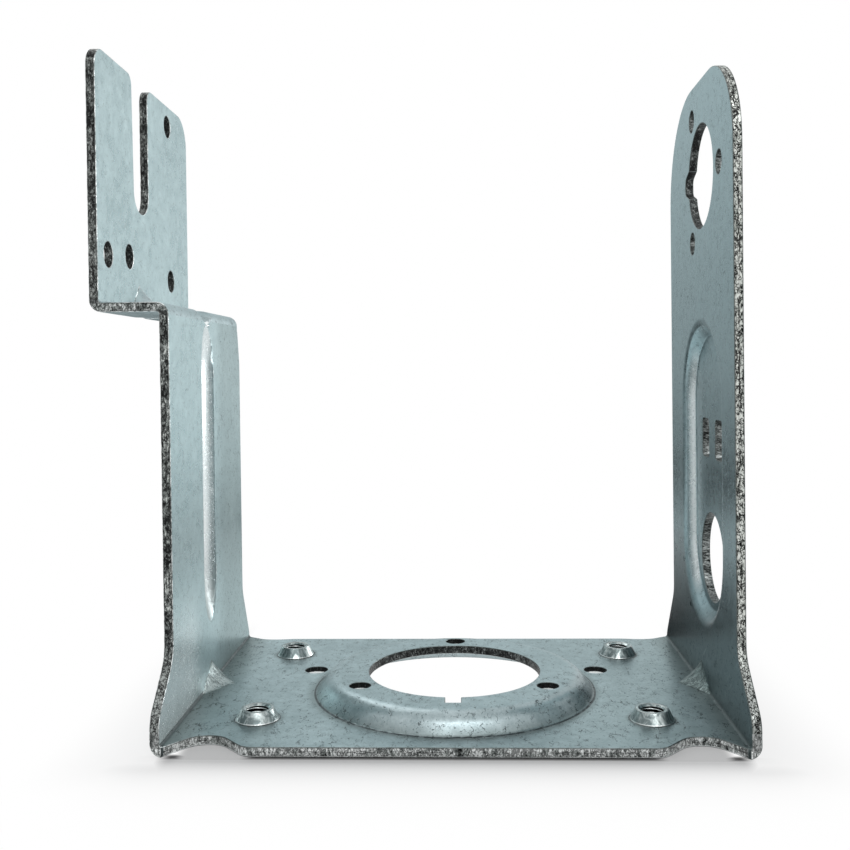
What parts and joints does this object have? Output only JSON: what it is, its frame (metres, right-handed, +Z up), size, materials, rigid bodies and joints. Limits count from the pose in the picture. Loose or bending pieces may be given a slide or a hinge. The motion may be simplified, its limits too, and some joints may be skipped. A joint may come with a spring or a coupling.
{
  "type": "u-shaped bracket",
  "caption": "U-shaped bracket folded from zinc-coated sheet steel, with a stepped slotted side, a tall drilled leg and a raised ring around a bore in its base.",
  "frame": {"origin": "midway between the four tapped collars, in the plane of the base's underside", "axes": "+X from the stepped side to the tall leg, +Y from the front edge to the rear edge, +Z up from the base"},
  "size_m": [0.1716, 0.1035, 0.181],
  "materials": {
    "bracket": "satin zinc coating with fine scuffs"
  },
  "bodies": {
    "root": {"bracket": "bracket"}
  },
  "joints": []
}
